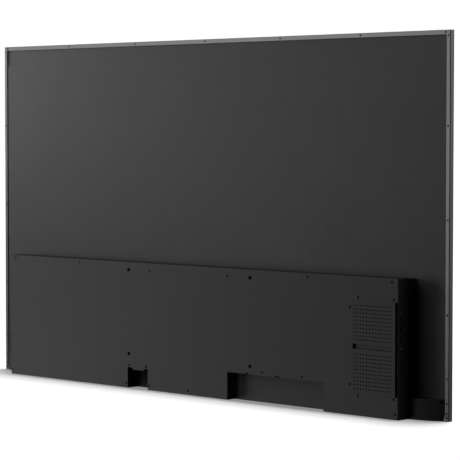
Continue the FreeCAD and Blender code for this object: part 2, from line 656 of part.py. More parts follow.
def vesa_inserts():
    y0 = Y_FACE + STEEL + VESA_PLATE
    inserts = []
    for x, z in vesa_places():
        sleeve = rod_y(y0, y0 + INSERT_LONG, x, z, INSERT_R)
        inserts.append(sleeve.cut(rod_y(y0 - 1, y0 + INSERT_LONG + 1, x, z, VESA_BORE_R)))
    return group(inserts)


# ---- mains bay ---------------------------------------------------------------------------------
def mains_bay():
    """Folded pocket round the mains plug: roof with two cut-outs, two cheeks and a floor."""
    back = Y_FACE + STEEL
    pocket = folded_pocket(NOTCH, NOTCH_TOP, NOTCH_DEEP, 10.0)
    inlet_hole = plan_block(INLET_X, INLET_Y, INLET_BODY, NOTCH_TOP - 1, NOTCH_TOP + 2 * STEEL, 0.1)
    switch_hole = plan_block(SWITCH_X, INLET_Y, SWITCH_BODY, NOTCH_TOP - 1, NOTCH_TOP + 2 * STEEL, 0.1)
    pocket = pocket.cut(inlet_hole).cut(switch_hole)
    return pocket.cut(cover_screw_holes(back - 1, back + STEEL + 1))


def folded_pocket(span, top, deep, tab_high):
    """Folded sheet round an opening in the cover: roof, two cheeks, floor and a tab for its screws."""
    x0, x1 = span
    y0 = Y_FACE + STEEL
    y1 = Y_FACE + deep
    roof = box(x0, x1, y0, y1, top, top + STEEL)
    left = box(x0 - STEEL, x0, y0, y1, STEEL, top + STEEL)
    right = box(x1, x1 + STEEL, y0, y1, STEEL, top + STEEL)
    floor = box(x0 - STEEL, x1 + STEEL, y1, y1 + STEEL, STEEL, top + STEEL)
    tab = box(x0 - STEEL, x1 + STEEL, y0, y0 + STEEL, top + STEEL, top + tab_high)
    return roof.fuse([left, right, floor, tab]).removeSplitter()


def mains_inlet():
    """Three-pin appliance inlet, mouth down: flange under the roof, body above it."""
    flange = plan_block(INLET_X, INLET_Y, INLET_FLANGE, NOTCH_TOP - INLET_FLANGE[2], NOTCH_TOP)
    body = plan_block(INLET_X, INLET_Y, INLET_BODY, NOTCH_TOP, NOTCH_TOP + INLET_BODY[2])
    half_x, half_y = INLET_MOUTH[0] / 2, INLET_MOUTH[1] / 2
    flat_x, flat_y = half_x - INLET_CORNER, half_y - INLET_CORNER
    mouth = [(-half_x, -half_y), (half_x, -half_y), (half_x, flat_y), (flat_x, half_y), (-flat_x, half_y),
             (-half_x, flat_y)]
    points = [(INLET_X + x, INLET_Y + y, NOTCH_TOP - 3) for x, y in mouth]
    socket = prism(points, (0, 0, INLET_MOUTH[2] + 3))
    slots = [box(*blade, NOTCH_TOP + INLET_MOUTH[2] - 1, NOTCH_TOP + INLET_BODY[2] + 1)
             for blade in mains_blades()]
    return flange.fuse(body).removeSplitter().cut(socket).cut(group(slots))


def mains_blades():
    """Plan of the three blades: x0, x1, y0, y1; the middle one stands off the line of the others."""
    wide, deep = BLADE
    blades = []
    for i in (-1, 0, 1):
        x = INLET_X + i * BLADE_PITCH
        y = INLET_Y + (BLADE_STAGGER if i == 0 else -BLADE_STAGGER)
        blades.append((x - wide / 2, x + wide / 2, y - deep / 2, y + deep / 2))
    return blades


def mains_pins():
    return group([box(*blade, NOTCH_TOP + BLADE_Z[0], NOTCH_TOP + BLADE_Z[1]) for blade in mains_blades()])


def switch_body():
    """Snap-in body of the rocker switch, mouth down, with bearing holes for the rocker."""
    flange = plan_block(SWITCH_X, INLET_Y, SWITCH_FLANGE, NOTCH_TOP - SWITCH_FLANGE[2], NOTCH_TOP)
    body = plan_block(SWITCH_X, INLET_Y, SWITCH_BODY, NOTCH_TOP, NOTCH_TOP + SWITCH_BODY[2])
    hollow = plan_block(SWITCH_X, INLET_Y, SWITCH_HOLLOW, NOTCH_TOP - 3, NOTCH_TOP + SWITCH_HOLLOW[2])
    reach = PIN_LONG / 2 + 0.1
    bearing = rod_x(SWITCH_X - reach, SWITCH_X + reach, INLET_Y, PIVOT_Z, PIN_R + 0.05)
    return flange.fuse(body).removeSplitter().cut(hollow).cut(bearing)


def rocker():
    """Rocker with two faces that meet at its middle; at rest one face is pressed in."""
    half = ROCKER_HALF
    lean = half * math.tan(math.radians(ROCKER_TILT))
    low = PIVOT_Z - ROCKER_LOW
    outline = [(-half, low + lean), (0, low), (half, low + lean), (half - 1.2, PIVOT_Z + 2.5),
               (2.5, PIVOT_Z + 5), (-2.5, PIVOT_Z + 5), (1.2 - half, PIVOT_Z + 2.5)]
    points = [(SWITCH_X - ROCKER_WIDE / 2, INLET_Y + y, z) for y, z in outline]
    paddle = prism(points, (ROCKER_WIDE, 0, 0))
    pin = rod_x(SWITCH_X - PIN_LONG / 2, SWITCH_X + PIN_LONG / 2, INLET_Y, PIVOT_Z, PIN_R)
    whole = paddle.fuse(pin)
    whole.rotate(V(SWITCH_X, INLET_Y, PIVOT_Z), V(1, 0, 0), ROCKER_TILT)
    return whole


# ---- connector bay -----------------------------------------------------------------------------
def down_block(x, size, grow):
    """Outline block of a connector whose mouth faces down, grown on every side for its cut-out."""
    wide, high, length, _ = size
    return box(x - wide / 2 - grow, x + wide / 2 + grow, Y_MAIN - high - grow, Y_MAIN + grow,
               BAY_TOP - PROUD, BAY_TOP - PROUD + length)


def down_shell(x, size):
    """Metal shell of a connector, open downwards."""
    wide, high, length, wall = size
    core = box(x - wide / 2 + wall, x + wide / 2 - wall, Y_MAIN - high + wall, Y_MAIN - wall,
               BAY_TOP - PROUD - 1, BAY_TOP - PROUD + length - SHELL_BACK)
    return down_block(x, size, 0).cut(core)


def side_shell(z, size):
    """Metal shell of a connector whose mouth faces the right-hand side."""
    wide, high, length, wall = size
    out = SIDE_PLATE_OUT + SIDE_PROUD
    block = box(out - length, out, Y_SIDE - high, Y_SIDE, z - wide / 2, z + wide / 2)
    return block.cut(box(out - length + SHELL_BACK, out + 1, Y_SIDE - high + wall, Y_SIDE - wall,
                         z - wide / 2 + wall, z + wide / 2 - wall))


def connector_bay():
    """Folded pocket for the signal cables, whose roof holds the connectors."""
    back = Y_FACE + STEEL
    pocket = folded_pocket(BAY, BAY_TOP, BAY_DEEP, 11.5)
    blocks = [(x, HDMI) for x in DOWN_HDMI] + [(DOWN_DISPLAY, DISPLAY_PORT)]
    blocks += [(x, USB) for x in DOWN_USB] + [(DOWN_LAN, LAN)]
    cuts = [down_block(x, size, CUT_PLAY) for x, size in blocks]
    cuts += [dsub_block(x, DSUB_NOSE, BAY_TOP - 1, BAY_TOP + STEEL + 1, CUT_PLAY) for x in DOWN_DSUB]
    cuts.append(rod_z(BAY_TOP - 1, BAY_TOP + 2, JACK_X, Y_MAIN - DSUB_MIDDLE, JACK_NOSE_R + CUT_PLAY))
    cuts.append(tie_slots())
    return pocket.cut(group(cuts)).cut(cover_screw_holes(back - 1, back + STEEL + 1))


def dsub_block(x, size, z0, z1, grow=0.0):
    return plan_block(x, Y_MAIN - DSUB_MIDDLE, size, z0, z1, grow)


def dsub_ports():
    """Two D-shaped sockets: nose through the roof, fixing flange on top of it, body above."""
    above = BAY_TOP + STEEL
    ports = []
    for x in DOWN_DSUB:
        nose = dsub_block(x, DSUB_NOSE, BAY_TOP - PROUD, above)
        flange = dsub_block(x, DSUB_FLANGE, above, above + DSUB_SHEET)
        body = dsub_block(x, DSUB_BODY, above + DSUB_SHEET, above + DSUB_HIGH)
        hollow = dsub_block(x, DSUB_NOSE, BAY_TOP - PROUD - 1, above + DSUB_HIGH / 2, -DSUB_WALL)
        ports.append(nose.fuse([flange, body]).removeSplitter().cut(hollow))
    return group(ports)


def audio_jack():
    wide, high, long = JACK_BLOCK
    middle = Y_MAIN - DSUB_MIDDLE
    block = box(JACK_X - wide / 2, JACK_X + wide / 2, Y_MAIN - high, Y_MAIN, BAY_TOP + STEEL, BAY_TOP + long)
    nose = rod_z(BAY_TOP - 1, BAY_TOP + STEEL, JACK_X, middle, JACK_NOSE_R)
    bore = rod_z(BAY_TOP - 2, BAY_TOP + JACK_DEEP, JACK_X, middle, JACK_R)
    return block.fuse(nose).cut(bore)


# ---- side plate and keys -----------------------------------------------------------------------
def side_plate():
    """Plate behind the window in the right wall: three connectors, four keys, two screws."""
    out = SIDE_PLATE_OUT
    plate = box(out - STEEL, out, SIDE_WINDOW_Y[0] - 2.4, SIDE_WINDOW_Y[1] + 3,
                SIDE_WINDOW[0] - 4, SIDE_WINDOW[1] + 4)
    cuts = []
    for z, size in [(z, USB) for z in SIDE_USB] + [(SIDE_HDMI, HDMI)]:
        half = size[0] / 2 + CUT_PLAY
        cuts.append(box(out - 3, out + 1, Y_SIDE - size[1] - CUT_PLAY, Y_SIDE + CUT_PLAY, z - half, z + half))
    for z in KEY_Z:
        cuts.append(key_block(out - 3, out + 1, z, CUT_PLAY))
    for z in SIDE_SCREW_AT:
        cuts.append(rod_x(out - 3, out + 1, SIDE_SCREW_Y, z, FRAME_SHANK_R + SCREW_PLAY))
    return plate.cut(group(cuts))


def side_screws():
    out = SIDE_PLATE_OUT
    screws = []
    for z in SIDE_SCREW_AT:
        head = rod_x(out, out + SIDE_HEAD, SIDE_SCREW_Y, z, SIDE_HEAD_R)
        shank = rod_x(out - 4, out, SIDE_SCREW_Y, z, FRAME_SHANK_R)
        screws.append(head.fuse(shank).removeSplitter())
    return group(screws)


def key_block(x0, x1, z, grow):
    half_y, half_z = KEY_SIZE[0] / 2 + grow, KEY_SIZE[1] / 2 + grow
    return box(x0, x1, KEY_Y - half_y, KEY_Y + half_y, z - half_z, z + half_z)


def key(z):
    """Push key: cap through the plate, a wider collar behind it, and a plunger."""
    out = SIDE_PLATE_OUT
    cap = key_block(out + KEY_CAP[0], out + KEY_CAP[1], z, 0)
    collar = key_block(out + KEY_COLLAR[0], out + KEY_COLLAR[1], z, KEY_COLLAR_WIDER)
    plunger = rod_x(out + KEY_PLUNGER[0], out + KEY_PLUNGER[1], KEY_Y, z, KEY_PLUNGER_R)
    return cap.fuse([collar, plunger])


def key_board():
    """Small upright board with one tactile switch behind each key."""
    deep, wide, high = TACTILE
    x1 = SIDE_PLATE_OUT + KEY_PLUNGER[0] - KEY_TRAVEL - 0.6
    x0 = x1 - deep
    low, high_end = KEY_Z[-1] - 7, KEY_Z[0] + 7
    solids = [box(x0 - KEY_BOARD, x0, Y_SIDE + BOARD + 0.2, KEY_Y + 9, low, high_end)]
    for z in KEY_Z:
        solids.append(box(x0, x1, KEY_Y - 1.0, KEY_Y - 1.0 + wide, z - high / 2, z + high / 2))
    return group(solids)


# ---- boards and their parts --------------------------------------------------------------------
def board(place):
    x0, x1, z0, z1, y = place
    sheet = box(x0, x1, y, y + BOARD, z0, z1)
    holes = [rod_y(y - 1, y + BOARD + 1, x, z, BOARD_HOLE_R) for x, z in board_corners(place)]
    return sheet.cut(group(holes))


def board_corners(place):
    x0, x1, z0, z1, _ = place
    return [(x, z) for x in (x0 + 6, x1 - 6) for z in (z0 + 18, z1 - 6)]


def standoffs():
    """Round spacers between the tray and the circuit boards."""
    spacers = []
    for place in (MAIN_BOARD, SUPPLY_BOARD, DRIVER_BOARD, TIMING_BOARD, SIDE_BOARD):
        y0 = place[4] + BOARD
        spacers += [rod_y(y0, Y_TRAY, x, z, SPACER_R) for x, z in board_corners(place)]
    return group(spacers)


def main_board_chips():
    return group([box(x0, x1, Y_MAIN - CHIP, Y_MAIN, z0, z1) for x0, x1, z0, z1 in CHIPS])


def heatsink():
    """Finned aluminium block on the main processor."""
    x0, x1, z0, z1 = SINK
    y_root = Y_MAIN - CHIP - SINK_BASE
    base = box(x0, x1, y_root, Y_MAIN - CHIP, z0, z1)
    fins = [box(x0, x1, y_root - FIN_HIGH, y_root, z0 + FIN_PITCH * i, z0 + FIN_PITCH * i + FIN)
            for i in range(FIN_COUNT)]
    return base.fuse(fins).removeSplitter()


def supply_transformers():
    y = SUPPLY_BOARD[4]
    return group([box(x - wide / 2, x + wide / 2, y - high, y, z - deep / 2, z + deep / 2)
                  for x, z, wide, deep, high in TRANSFORMERS])


def supply_capacitors():
    y = SUPPLY_BOARD[4]
    return group([rod_y(y - high, y, x, z, radius) for x, z, radius, high in CAPACITORS])


def driver_parts():
    """Coils and driver chips on the backlight driver board."""
    y = DRIVER_BOARD[4]
    first, pitch, count, z, radius, high = COILS
    coils = [rod_y(y - high, y, first + pitch * i, z, radius) for i in range(count)]
    first, pitch, count, z, side = DRIVER_CHIPS
    chips = [box(first + pitch * i, first + pitch * i + side, y - DRIVER_CHIP, y, z, z + side)
             for i in range(count)]
    return group(coils + chips)


# ---- the whole assembly ------------------------------------------------------------------------
def all_nodes():
    nodes = {"frame_rail_" + side: rail(side) for side in ("top", "bottom", "left", "right")}
    nodes["corner_keys"] = corner_keys()
    nodes["frame_screws"] = frame_screws()
    nodes["front_bezel"] = front_bezel()
    nodes["sensor_window"] = sensor_window()
    nodes["lcd_panel"] = lcd_panel()
    nodes["mid_frame"] = mid_frame()
    nodes["optical_films"] = optical_films()
    nodes["light_guide"] = light_guide()
    nodes["reflector_sheet"] = reflector_sheet()
    nodes["led_strip"] = led_strip()
    nodes["led_emitters"] = led_emitters()
    nodes["back_sheet"] = back_sheet()
    nodes["bottom_bar"] = bottom_bar()
    nodes["bar_screws"] = bar_screws()
    nodes["speaker_left"] = speaker(-1)
    nodes["speaker_right"] = speaker(1)
    nodes["speaker_drivers"] = speaker_drivers()
    nodes["chassis_tray"] = chassis_tray()
    nodes["cover_posts"] = cover_posts()
    nodes["rear_cover"] = rear_cover()
    nodes["cover_screws"] = cover_screws()
    nodes["vent_panel"] = vent_panel()
    nodes["vesa_plate_left"] = vesa_plate(-VESA_X / 2)
    nodes["vesa_plate_right"] = vesa_plate(VESA_X / 2)
    nodes["vesa_inserts"] = vesa_inserts()
    nodes["mains_bay"] = mains_bay()
    nodes["mains_inlet"] = mains_inlet()
    nodes["mains_pins"] = mains_pins()
    nodes["switch_body"] = switch_body()
    nodes["power_rocker"] = rocker()
    nodes["connector_bay"] = connector_bay()
    nodes["hdmi_ports"] = group([down_shell(x, HDMI) for x in DOWN_HDMI])
    nodes["display_port"] = down_shell(DOWN_DISPLAY, DISPLAY_PORT)
    nodes["usb_ports"] = group([down_shell(x, USB) for x in DOWN_USB])
    nodes["lan_port"] = down_shell(DOWN_LAN, LAN)
    nodes["dsub_ports"] = dsub_ports()
    nodes["audio_jack"] = audio_jack()
    nodes["side_plate"] = side_plate()
    nodes["side_screws"] = side_screws()
    nodes["side_ports"] = group([side_shell(z, USB) for z in SIDE_USB]
                                + [side_shell(SIDE_HDMI, HDMI)])
    for name, z in zip(KEY_NAMES, KEY_Z):
        nodes[name] = key(z)
    nodes["key_board"] = key_board()
    nodes["main_board"] = board(MAIN_BOARD)
    nodes["main_board_chips"] = main_board_chips()
    nodes["heatsink"] = heatsink()
    nodes["supply_board"] = board(SUPPLY_BOARD)
    nodes["supply_transformers"] = supply_transformers()
    nodes["supply_capacitors"] = supply_capacitors()
    nodes["driver_board"] = board(DRIVER_BOARD)
    nodes["driver_parts"] = driver_parts()
    nodes["timing_board"] = board(TIMING_BOARD)
    nodes["side_board"] = board(SIDE_BOARD)
    nodes["standoffs"] = standoffs()
    return nodes


os.makedirs("parts", exist_ok=True)
for node, shape in all_nodes().items():
    shape.exportStep("parts/" + node + ".step")
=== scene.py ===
"""Looks of a 65-inch flat-panel display, seen from behind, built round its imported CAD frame."""

import math

import bmesh
import bpy
from mathutils import Matrix, Vector


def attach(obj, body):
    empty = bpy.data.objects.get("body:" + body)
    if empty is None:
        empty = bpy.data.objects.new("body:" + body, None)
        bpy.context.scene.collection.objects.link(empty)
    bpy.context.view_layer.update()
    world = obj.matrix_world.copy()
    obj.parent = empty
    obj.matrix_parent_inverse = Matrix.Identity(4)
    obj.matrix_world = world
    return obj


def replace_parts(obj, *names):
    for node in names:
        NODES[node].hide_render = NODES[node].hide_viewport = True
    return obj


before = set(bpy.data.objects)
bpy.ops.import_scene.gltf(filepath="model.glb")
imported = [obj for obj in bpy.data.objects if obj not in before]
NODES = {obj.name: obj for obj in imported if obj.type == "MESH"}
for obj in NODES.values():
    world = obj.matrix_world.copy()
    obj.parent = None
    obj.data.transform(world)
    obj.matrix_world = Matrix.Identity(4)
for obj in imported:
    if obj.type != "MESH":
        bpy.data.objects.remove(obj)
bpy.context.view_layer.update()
SCENE = bpy.context.scene
MM = 0.001

# ---- camera -------------------------------------------------------------------------------------
LENS_MM = 170.31
SENSOR_MM = 36.0
CAMERA_AT = Vector((3.5831, -3.5565, 0.6172))
LOOK = Vector((-0.69860, 0.71396, -0.04658))
CAMERA_ROLL = 0.034        # degrees

# ---- lights -------------------------------------------------------------------------------------
# Soft boxes: degrees round from straight behind the display, degrees up, metres away, metres wide,
# watts, height aimed at, and what the box reaches.
SOFT_BOXES = {
    "key_box": (-20, 32, 4.0, 1.4, 11.1, 0.4, "all"),
    "left_box": (-80, 14, 4.0, 1.4, 8.6, 0.4, "all"),
    "near_left_box": (-60, 12, 2.3, 0.8, 1.8, 0.4, "all"),
    "near_box": (-35, 12, 2.3, 0.8, 1.1, 0.4, "all"),
    "edge_box": (130, 40, 4.0, 1.4, 131, 0.4, "all"),
    "edge_low_box": (112, 5, 4.0, 1.4, 5.5, 0.4, "all"),
    "front_box": (195, 30, 4.0, 1.4, 30, 0.4, "all"),
    "top_wash": (-30, 50, 2.2, 1.0, 7.5, 0.8, "cover"),
    "left_low_box": (-60, -4, 4.0, 1.4, 6.2, 0.4, "cover"),
    "under_left_box": (-80, -22, 4.0, 1.4, 7.2, 0.4, "cover"),
    "under_box": (-60, -22, 4.0, 1.4, 8.9, 0.4, "cover"),
    "under_middle_box": (-20, -22, 4.0, 1.4, 5.9, 0.4, "cover"),
    "near_low_box": (-60, -8, 2.3, 0.8, 0.8, 0.4, "cover"),
    "sheet_side_box": (-78, 8, 3.0, 0.8, 13.7, 0.5, "sheet"),
    "sheet_middle_box": (5, 18, 2.2, 0.8, 5.2, 0.9, "sheet"),
    "sheet_far_box": (-20, 14, 4.0, 1.4, 2.1, 0.4, "sheet"),
    "sheet_low_box": (-37, -5, 3.0, 0.8, 3.7, 0.5, "sheet"),
    "sheet_low_left_box": (-80, -4, 4.0, 1.4, 4.5, 0.4, "sheet"),
    "sheet_low_far_box": (-48, -4, 4.0, 1.4, 4.2, 0.4, "sheet"),
    "rail_box": (-36, 4, 4.0, 1.4, 11.5, 0.25, "rails"),
}
ROOM_GLOW = 0.012
FLOOR_GLOW = 0.0245        # what the floor gives back to the display
PAPER_GLOW = 0.27          # what is left of the floor's white in its deepest shade
SKY_WIDE = 12.5            # degrees across the soft overhead light that shades the floor
SKY_TILT = 6.2             # degrees it leans to the screen's side
SKY_STRENGTH = 2.75

# ---- colours ------------------------------------------------------------------------------------
ALLOY = (0.30, 0.30, 0.305)
SHEET_PAINT = (0.040, 0.040, 0.040)
COVER_PAINT = (0.043, 0.043, 0.043)
SCREW_BLACK = (0.014, 0.014, 0.015)
NICKEL = (0.55, 0.53, 0.50)
ALONG_X = (6, 1500, 1500)      # noise scale of metal that was drawn along X
ALONG_Z = (1500, 1500, 6)

# ---- small parts, in mm -------------------------------------------------------------------------
HEAD_HIGH = {"frame_screws": 0.5, "cover_screws": 0.5, "bar_screws": 0.8, "side_screws": 0.8}
SCREW_TURN = 37                # degrees from one screw's cross to the next

# Width of a socket's shell: tongue width, thickness, distance from the board, contacts and their pitch.
TONGUES = {
    13.3: (11.0, 1.9, 3.4, 4, 2.5),
    15.0: (11.2, 1.2, 2.2, 9, 1.1),
    17.0: (13.0, 1.2, 2.2, 10, 1.1),
}
DOWNWARD = ("hdmi_ports", "display_port", "usb_ports")
TONGUE_START = 1.6             # in from the mouth
TONGUE_END = 10.0
CONTACT_START = 2.2
CONTACT_THICK = 0.12
CONTACT_SHARE = 0.5            # of the pitch

LAN_HALF_WIDE = 6.9
LAN_ROOF = ((1.1, 1.9), (0.4, 14.0))       # spans off the board and in from the mouth
LAN_BACK = ((1.1, 12.4), (12.6, 14.2))
LAN_WIRES = (8, 1.02, 0.4)                 # count, pitch and thickness
LAN_WIRE_OFF = 3.0
LAN_WIRE_REACH = (2.5, 12.6)

# Heights of the D-shaped socket's parts are measured up from its mouth.
DSUB_INSERT = (8.0, 3.5, 4.2, 7.1)         # half width, half depth, bottom and top
DSUB_PINS = (5, 4)
DSUB_PIN_PITCH = 2.77
DSUB_ROW_PITCH = 2.84
DSUB_PIN = (0.5, 3.2, 2.8)                 # radius, length, height of its middle
DSUB_NUT = (2.7, 2.2, 0.4)
DSUB_NUT_APART = 25.0

ROCKER_JOINT = (-153.0, -17.7, 51.5)
ROCKER_TILT = 8                            # degrees
ROCKER_HALF = 7.4
ROCKER_FACE = 4.4                          # from the joint to the ridge between the two faces
MARK_HIGH = 0.12
MARK_BAR = (0.35, 1.7)                     # half width and half length
MARK_RING = (1.7, 1.15)                    # outer and inner radius

EDGE_BREAKS = {
    0.2: ("frame_rail_top", "frame_rail_bottom", "frame_rail_left", "frame_rail_right", "front_bezel"),
    0.3: ("bottom_bar", "power_key", "source_key", "up_key", "down_key", "mains_inlet", "switch_body"),
}


# ---- camera and light ---------------------------------------------------------------------------
def make_camera():
    data = bpy.data.cameras.new("camera")
    data.lens = LENS_MM
    data.sensor_width = SENSOR_MM
    camera = bpy.data.objects.new("camera", data)
    camera.location = CAMERA_AT
    roll = Matrix.Rotation(math.radians(CAMERA_ROLL), 3, "Z")
    camera.rotation_euler = (LOOK.to_track_quat("-Z", "Y").to_matrix() @ roll).to_euler()
    SCENE.collection.objects.link(camera)
    SCENE.camera = camera


def linked(collection_name, members, state):
    """Light linking: a collection that names what a light skips, or what alone it reaches."""
    named = bpy.data.collections.new(collection_name)
    for member in members:
        named.objects.link(member)
    for entry in named.collection_objects:
        entry.light_linking.link_state = state
    return named


def soft_box(name, place, reached, blockers):
    azimuth, elevation, far, size, watts, aim_height, _ = place
    data = bpy.data.lights.new(name, "AREA")
    data.shape = "SQUARE"
    data.size = size
    data.energy = watts
    data.cycles.use_multiple_importance_sampling = False
    turn, rise = math.radians(azimuth), math.radians(elevation)
    away = Vector((math.sin(turn) * math.cos(rise), -math.cos(turn) * math.cos(rise), math.sin(rise)))
    light = bpy.data.objects.new(name, data)
    light.location = Vector((0, 0, aim_height)) + away * far
    light.rotation_euler = (-away).to_track_quat("-Z", "Y").to_euler()
    light.light_linking.receiver_collection = reached
    light.light_linking.blocker_collection = blockers
    SCENE.collection.objects.link(light)


def make_lights(floor):
    rails = [NODES["frame_rail_" + side] for side in ("top", "bottom", "left", "right")]
    sheet = NODES["back_sheet"]
    reached = {
        "all": linked("all_but_floor", [floor], "EXCLUDE"),
        "cover": linked("no_rails_or_sheet", [floor, sheet] + rails, "EXCLUDE"),
        "sheet": linked("sheet_only", [sheet], "INCLUDE"),
        "rails": linked("rails_only", rails, "INCLUDE"),
    }
    blockers = linked("not_the_left_rail", [NODES["frame_rail_left"]], "EXCLUDE")
    for name, place in SOFT_BOXES.items():
        soft_box(name, place, reached[place[-1]], blockers)
    data = bpy.data.lights.new("overhead", "SUN")
    data.angle = math.radians(SKY_WIDE)
    data.energy = SKY_STRENGTH
    sky = bpy.data.objects.new("overhead", data)
    sky.rotation_euler = (math.radians(-SKY_TILT), 0, 0)
    sky.light_linking.receiver_collection = linked("floor_only", [floor], "INCLUDE")
    SCENE.collection.objects.link(sky)


def camera_mix(tree, seen, felt):
    """Joins two shaders: one for the eye, the other for the light that surfaces receive."""
    path = tree.nodes.new("ShaderNodeLightPath")
    mix = tree.nodes.new("ShaderNodeMixShader")
    tree.links.new(path.outputs["Is Camera Ray"], mix.inputs["Fac"])
    tree.links.new(felt, mix.inputs[1])
    tree.links.new(seen, mix.inputs[2])
    return mix.outputs["Shader"]


def make_world():
    """White surroundings to the eye, a dim room to the surfaces."""
    world = bpy.data.worlds.new("room")
    world.use_nodes = True
    tree = world.node_tree
    dim = tree.nodes["Background"]
    dim.inputs["Color"].default_value = (0.9, 0.95, 1.0, 1)
    dim.inputs["Strength"].default_value = ROOM_GLOW
    white = tree.nodes.new("ShaderNodeBackground")
    white.inputs["Color"].default_value = (1, 1, 1, 1)
    mixed = camera_mix(tree, white.outputs["Background"], dim.outputs["Background"])
    tree.links.new(mixed, tree.nodes["World Output"].inputs["Surface"])
    SCENE.world = world


def make_floor():
    """White paper floor: a faint light on the display from below, and no shade on it from the low boxes."""
    half = 30.0
    corners = [(-half, -half, 0), (half, -half, 0), (half, half, 0), (-half, half, 0)]
    mesh = bpy.data.meshes.new("floor")
    mesh.from_pydata(corners, [], [(0, 1, 2, 3)])
    floor = bpy.data.objects.new("floor", mesh)
    SCENE.collection.objects.link(floor)
    material = bpy.data.materials.new("floor_paper")
    material.use_nodes = True
    tree = material.node_tree
    paper = tree.nodes["Principled BSDF"]
    paper.inputs["Base Color"].default_value = (0.9, 0.9, 0.9, 1)
    paper.inputs["Roughness"].default_value = 1.0
    paper.inputs["Specular IOR Level"].default_value = 0.0
    paper.inputs["Emission Color"].default_value = (1, 1, 1, 1)
    paper.inputs["Emission Strength"].default_value = PAPER_GLOW
    glow = tree.nodes.new("ShaderNodeEmission")
    glow.inputs["Strength"].default_value = FLOOR_GLOW
    mixed = camera_mix(tree, paper.outputs["BSDF"], glow.outputs["Emission"])
    tree.links.new(mixed, tree.nodes["Material Output"].inputs["Surface"])
    mesh.materials.append(material)
    floor.visible_shadow = False
    return floor


# ---- material helpers ---------------------------------------------------------------------------
class Finish:
    """A Principled material and the few node moves that all finishes share."""

    def __init__(self, name, colour, metallic=0.0, roughness=0.5, specular=0.5):
        self.material = bpy.data.materials.new(name)
        self.material.use_nodes = True
        self.nodes = self.material.node_tree.nodes
        self.links = self.material.node_tree.links
        self.shader = self.nodes["Principled BSDF"]
        self.shader.inputs["Base Color"].default_value = (*colour, 1)
        self.shader.inputs["Metallic"].default_value = metallic
        self.shader.inputs["Roughness"].default_value = roughness
        self.shader.inputs["Specular IOR Level"].default_value = specular
        self.place = self.nodes.new("ShaderNodeTexCoord").outputs["Object"]

    def stretched(self, scale):
        mapping = self.nodes.new("ShaderNodeMapping")
        mapping.inputs["Scale"].default_value = scale
        self.links.new(self.place, mapping.inputs["Vector"])
        return mapping.outputs["Vector"]

    def noise(self, per_metre, detail=2.0, stretch=None):
        node = self.nodes.new("ShaderNodeTexNoise")
        node.inputs["Scale"].default_value = per_metre
        node.inputs["Detail"].default_value = detail
        self.links.new(self.stretched(stretch) if stretch else self.place, node.inputs["Vector"])
        return node.outputs["Fac"]

    def ramp(self, source, low, high):
        """Runs from one colour or grey level to another as the source rises from 0.3 to 0.7."""
        node = self.nodes.new("ShaderNodeValToRGB")
        node.color_ramp.elements[0].position = 0.3
        node.color_ramp.elements[1].position = 0.7
        for element, value in zip(node.color_ramp.elements, (low, high)):
            element.color = (*value, 1) if isinstance(value, tuple) else (value, value, value, 1)
        self.links.new(source, node.inputs["Fac"])
        return node.outputs["Color"]

    def colour(self, source, low, high):
        self.links.new(self.ramp(source, low, high), self.shader.inputs["Base Color"])
        return self

    def roughness(self, source, low, high):
        self.links.new(self.ramp(source, low, high), self.shader.inputs["Roughness"])
        return self

    def bump(self, source, height_mm, strength=1.0):
        node = self.nodes.new("ShaderNodeBump")
        node.inputs["Strength"].default_value = strength
        node.inputs["Distance"].default_value = height_mm * MM
        self.links.new(source, node.inputs["Height"])
        if self.shader.inputs["Normal"].is_linked:
            self.links.new(self.shader.inputs["Normal"].links[0].from_socket, node.inputs["Normal"])
        self.links.new(node.outputs["Normal"], self.shader.inputs["Normal"])
        return self


def shade(colour, factor):
    return tuple(min(1.0, channel * factor) for channel in colour)


def powder_coat(name, colour, roughness=0.5, grain_mm=0.012):
    """Baked black paint on sheet steel: fine orange peel, faint cloudiness, uneven gloss."""
    finish = Finish(name, colour, roughness=roughness)
    finish.colour(finish.noise(7, detail=4), shade(colour, 0.94), shade(colour, 1.06))
    finish.roughness(finish.noise(60, detail=3), roughness - 0.03, roughness + 0.03)
    return finish.bump(finish.noise(900, detail=3), grain_mm)


def brushed(name, colour, stretch, roughness=0.45):
    """Anodised aluminium with its drawing lines along one axis."""
    finish = Finish(name, colour, metallic=1.0, roughness=roughness)
    lines = finish.noise(1.0, detail=4, stretch=stretch)
    finish.colour(lines, shade(colour, 0.9), shade(colour, 1.1))
    finish.roughness(lines, roughness - 0.05, roughness + 0.05)
    return finish.bump(lines, 0.01, strength=0.4)


def plated(name, colour, roughness=0.3):
    """Plated or machined metal: small changes of gloss and tone."""
    finish = Finish(name, colour, metallic=1.0, roughness=roughness)
    finish.colour(finish.noise(250, detail=4), shade(colour, 0.8), shade(colour, 1.1))
    return finish.roughness(finish.noise(600, detail=2), roughness - 0.08, roughness + 0.12)


def moulded(name, colour, roughness=0.5, grain_mm=0.02):
    """Moulded plastic with a spark-eroded grain."""
    finish = Finish(name, colour, roughness=roughness)
    finish.colour(finish.noise(40, detail=3), shade(colour, 0.92), shade(colour, 1.08))
    finish.roughness(finish.noise(150, detail=2), roughness - 0.05, roughness + 0.05)
    return finish.bump(finish.noise(2500, detail=2), grain_mm, strength=0.6)


def screen_glass():
    """Anti-glare polariser over a switched-off panel: near black, softly glossy, with a fine tooth."""
    dark = (0.004, 0.0042, 0.005)
    finish = Finish("screen_glass_finish", dark, roughness=0.16, specular=0.55)
    finish.colour(finish.noise(3, detail=2), shade(dark, 0.9), shade(dark, 1.15))
    finish.roughness(finish.noise(1800, detail=1), 0.14, 0.2)
    finish.shader.inputs["Coat Weight"].default_value = 0.15
    finish.shader.inputs["Coat Roughness"].default_value = 0.25
    return finish.bump(finish.noise(3500, detail=1), 0.003, strength=0.5)


